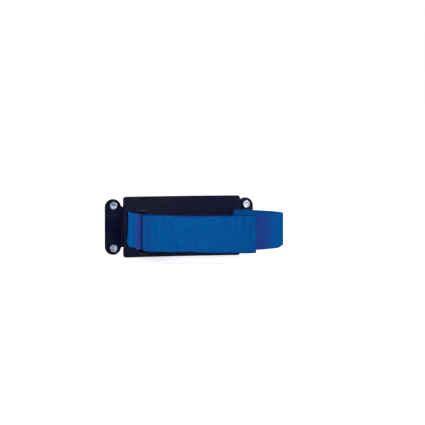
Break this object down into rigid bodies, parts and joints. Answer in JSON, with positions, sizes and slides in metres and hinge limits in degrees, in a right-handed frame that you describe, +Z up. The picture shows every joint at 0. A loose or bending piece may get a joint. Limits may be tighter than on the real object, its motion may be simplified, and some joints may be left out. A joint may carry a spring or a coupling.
{
  "type": "gas cylinder bracket",
  "caption": "Wall bracket for a gas cylinder: folded steel plate with two bolted ears, a dished saddle and a hook-and-loop strap drawn through an oval ring.",
  "frame": {"origin": "middle of the four bolts, on the wall plane", "axes": "+Y into the wall along the bolts, -Y towards the cylinder, +Z up along the cylinder, +X to the right seen from the front"},
  "size_m": [0.2234, 0.2419, 0.086],
  "materials": {
    "powder_coated_steel": "satin black powder coat",
    "zinc_plated_steel": "bright zinc plate",
    "webbing": "woven polyester webbing",
    "loop_fabric": "brushed loop pile",
    "enamelled_wire": "gloss black enamel"
  },
  "bodies": {
    "root": {"bracket_plate": "powder_coated_steel", "bolt_upper_left": "zinc_plated_steel", "bolt_lower_left": "zinc_plated_steel", "bolt_upper_right": "zinc_plated_steel", "bolt_lower_right": "zinc_plated_steel", "strap": "webbing", "hook_tongue": "webbing", "ring_tab": "loop_fabric", "ring": "enamelled_wire"}
  },
  "joints": []
}
